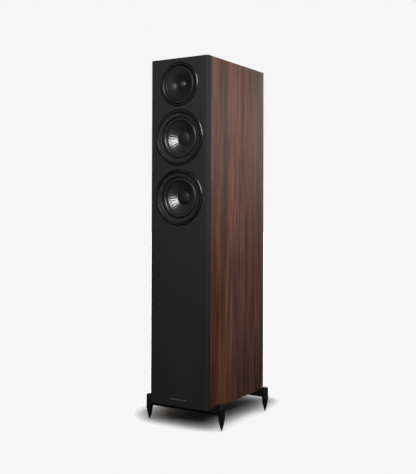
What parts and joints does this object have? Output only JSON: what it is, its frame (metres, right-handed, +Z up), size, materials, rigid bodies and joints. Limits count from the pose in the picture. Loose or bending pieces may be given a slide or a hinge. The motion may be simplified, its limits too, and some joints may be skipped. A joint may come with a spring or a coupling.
{
  "type": "floorstanding speaker",
  "caption": "Slim tall loudspeaker cabinet with a black front, walnut sides, dome tweeter above two cone drivers, and outrigger feet with levelling spikes.",
  "frame": {"origin": "on the floor under the spike tips, at the centre of the bounding box in plan", "axes": "+X to the right seen from the front, +Y from the front baffle towards the back, +Z up"},
  "size_m": [0.2486, 0.3438, 0.98],
  "materials": {
    "baffle_lacquer": "satin black lacquer on fibreboard",
    "walnut": "walnut veneer with a fine upright grain, satin",
    "inner_board": "raw fibreboard",
    "fibre": "loose white polyester fibre",
    "trim_plastic": "fine satin moulded plastic, black",
    "surround_rubber": "smooth butyl rubber, soft sheen",
    "cone_mica": "mica-filled cone, satin gloss, dark grey",
    "dome_textile": "coated woven dome, glossy black",
    "copper_coil": "enamelled copper wire on a former",
    "spider_cloth": "impregnated corrugated cloth",
    "motor_steel": "ferrite ring and blackened steel plates",
    "basket_steel": "black powder coat on pressed steel",
    "foot_black": "black powder coat, fine texture",
    "spike_black": "black anodised turned metal, satin",
    "screw_steel": "zinc-plated steel",
    "screw_black": "black zinc-plated steel",
    "terminal_plastic": "black moulded plastic",
    "gold_brass": "gold-plated brass",
    "cap_red": "translucent red plastic",
    "cap_black": "black plastic",
    "port_plastic": "black moulded plastic",
    "inlay_metal": "fine brushed aluminium strip",
    "electronics": "coils, film capacitors and resistors",
    "lead_sheath": "flexible sheath"
  },
  "bodies": {
    "cabinet": {"badge_inlay": "inlay_metal", "binding_posts": "gold_brass", "bottom_panel": "walnut", "crossover_board": "inner_board", "crossover_components": "electronics", "damping_wadding": "fibre", "driver_screws": "screw_black", "front_baffle": "baffle_lacquer", "internal_leads": "lead_sheath", "link_plates": "gold_brass", "lock_caps": "spike_black", "midrange_basket": "basket_steel", "midrange_motor": "motor_steel", "midrange_spider": "spider_cloth", "midrange_surround": "surround_rubber", "midrange_trim_ring": "trim_plastic", "outrigger_bolts": "screw_black", "outrigger_front": "foot_black", "outrigger_rear": "foot_black", "port_tube": "port_plastic", "rear_panel": "walnut", "shelf_braces": "inner_board", "side_panel_left": "walnut", "side_panel_right": "walnut", "terminal_plate": "terminal_plastic", "terminal_screws": "screw_black", "top_panel": "walnut", "tweeter_faceplate": "trim_plastic", "tweeter_motor": "motor_steel", "tweeter_rear_cup": "trim_plastic", "tweeter_trim_ring": "trim_plastic", "woofer_basket": "basket_steel", "woofer_motor": "motor_steel", "woofer_spider": "spider_cloth", "woofer_surround": "surround_rubber", "woofer_trim_ring": "trim_plastic"},
    "tweeter_diaphragm": {"tweeter_dome": "dome_textile", "tweeter_voice_coil": "copper_coil"},
    "midrange_diaphragm": {"midrange_cone": "cone_mica", "midrange_dust_cap": "cone_mica", "midrange_voice_coil": "copper_coil"},
    "woofer_diaphragm": {"woofer_cone": "cone_mica", "woofer_dust_cap": "cone_mica", "woofer_voice_coil": "copper_coil"},
    "spike_fl": {"spike_fl": "spike_black"},
    "levelling_screw_fl": {"levelling_screw_fl": "screw_steel"},
    "spike_fr": {"spike_fr": "spike_black"},
    "levelling_screw_fr": {"levelling_screw_fr": "screw_steel"},
    "spike_rl": {"spike_rl": "spike_black"},
    "levelling_screw_rl": {"levelling_screw_rl": "screw_steel"},
    "spike_rr": {"spike_rr": "spike_black"},
    "levelling_screw_rr": {"levelling_screw_rr": "screw_steel"},
    "clamp_washer_hf_pos": {"clamp_washer_hf_pos": "gold_brass"},
    "post_cap_hf_pos": {"post_cap_hf_pos": "cap_red"},
    "clamp_washer_hf_neg": {"clamp_washer_hf_neg": "gold_brass"},
    "post_cap_hf_neg": {"post_cap_hf_neg": "cap_black"},
    "clamp_washer_lf_pos": {"clamp_washer_lf_pos": "gold_brass"},
    "post_cap_lf_pos": {"post_cap_lf_pos": "cap_red"},
    "clamp_washer_lf_neg": {"clamp_washer_lf_neg": "gold_brass"},
    "post_cap_lf_neg": {"post_cap_lf_neg": "cap_black"}
  },
  "joints": [
    {"name": "tweeter_travel", "type": "slide", "parent": "cabinet", "child": "tweeter_diaphragm", "axis": [0, -1, 0], "range_m": [-0.0003, 0.0003], "stiffness_N_per_m": 2000},
    {"name": "midrange_travel", "type": "slide", "parent": "cabinet", "child": "midrange_diaphragm", "axis": [0, -1, 0], "range_m": [-0.004, 0.004], "stiffness_N_per_m": 900, "deforming": ["midrange_surround", "midrange_spider"]},
    {"name": "woofer_travel", "type": "slide", "parent": "cabinet", "child": "woofer_diaphragm", "axis": [0, -1, 0], "range_m": [-0.004, 0.004], "stiffness_N_per_m": 900, "deforming": ["woofer_surround", "woofer_spider"]},
    {"name": "spike_fl_extend", "type": "slide", "parent": "cabinet", "child": "spike_fl", "axis": [0, 0, -1], "range_m": [0, 0.01]},
    {"name": "levelling_screw_fl_turn", "type": "hinge", "parent": "spike_fl", "child": "levelling_screw_fl", "pos_m": [-0.115, -0.13712, 0.04], "axis": [0, 0, -1], "range_deg": [-5, 2900]},
    {"name": "spike_fr_extend", "type": "slide", "parent": "cabinet", "child": "spike_fr", "axis": [0, 0, -1], "range_m": [0, 0.01]},
    {"name": "levelling_screw_fr_turn", "type": "hinge", "parent": "spike_fr", "child": "levelling_screw_fr", "pos_m": [0.115, -0.13712, 0.04], "axis": [0, 0, -1], "range_deg": [-5, 2900]},
    {"name": "spike_rl_extend", "type": "slide", "parent": "cabinet", "child": "spike_rl", "axis": [0, 0, -1], "range_m": [0, 0.01]},
    {"name": "levelling_screw_rl_turn", "type": "hinge", "parent": "spike_rl", "child": "levelling_screw_rl", "pos_m": [-0.115, 0.10687, 0.04], "axis": [0, 0, -1], "range_deg": [-5, 2900]},
    {"name": "spike_rr_extend", "type": "slide", "parent": "cabinet", "child": "spike_rr", "axis": [0, 0, -1], "range_m": [0, 0.01]},
    {"name": "levelling_screw_rr_turn", "type": "hinge", "parent": "spike_rr", "child": "levelling_screw_rr", "pos_m": [0.115, 0.10687, 0.04], "axis": [0, 0, -1], "range_deg": [-5, 2900]},
    {"name": "clamp_washer_hf_pos_open", "type": "slide", "parent": "cabinet", "child": "clamp_washer_hf_pos", "axis": [0, 1, 0], "range_m": [0, 0.006]},
    {"name": "post_cap_hf_pos_turn", "type": "hinge", "parent": "clamp_washer_hf_pos", "child": "post_cap_hf_pos", "pos_m": [0.019, 0.16287, 0.191], "axis": [0, 1, 0], "range_deg": [-5, 1750]},
    {"name": "clamp_washer_hf_neg_open", "type": "slide", "parent": "cabinet", "child": "clamp_washer_hf_neg", "axis": [0, 1, 0], "range_m": [0, 0.006]},
    {"name": "post_cap_hf_neg_turn", "type": "hinge", "parent": "clamp_washer_hf_neg", "child": "post_cap_hf_neg", "pos_m": [-0.019, 0.16287, 0.191], "axis": [0, 1, 0], "range_deg": [-5, 1750]},
    {"name": "clamp_washer_lf_pos_open", "type": "slide", "parent": "cabinet", "child": "clamp_washer_lf_pos", "axis": [0, 1, 0], "range_m": [0, 0.006]},
    {"name": "post_cap_lf_pos_turn", "type": "hinge", "parent": "clamp_washer_lf_pos", "child": "post_cap_lf_pos", "pos_m": [0.019, 0.16287, 0.159], "axis": [0, 1, 0], "range_deg": [-5, 1750]},
    {"name": "clamp_washer_lf_neg_open", "type": "slide", "parent": "cabinet", "child": "clamp_washer_lf_neg", "axis": [0, 1, 0], "range_m": [0, 0.006]},
    {"name": "post_cap_lf_neg_turn", "type": "hinge", "parent": "clamp_washer_lf_neg", "child": "post_cap_lf_neg", "pos_m": [-0.019, 0.16287, 0.159], "axis": [0, 1, 0], "range_deg": [-5, 1750]}
  ],
  "couplings": [
    {"joint": "levelling_screw_fl_turn", "follows": "spike_fl_extend", "rad_per_m": 5026.5},
    {"joint": "levelling_screw_fr_turn", "follows": "spike_fr_extend", "rad_per_m": 5026.5},
    {"joint": "levelling_screw_rl_turn", "follows": "spike_rl_extend", "rad_per_m": 5026.5},
    {"joint": "levelling_screw_rr_turn", "follows": "spike_rr_extend", "rad_per_m": 5026.5},
    {"joint": "post_cap_hf_pos_turn", "follows": "clamp_washer_hf_pos_open", "rad_per_m": 5026.5},
    {"joint": "post_cap_hf_neg_turn", "follows": "clamp_washer_hf_neg_open", "rad_per_m": 5026.5},
    {"joint": "post_cap_lf_pos_turn", "follows": "clamp_washer_lf_pos_open", "rad_per_m": 5026.5},
    {"joint": "post_cap_lf_neg_turn", "follows": "clamp_washer_lf_neg_open", "rad_per_m": 5026.5}
  ]
}
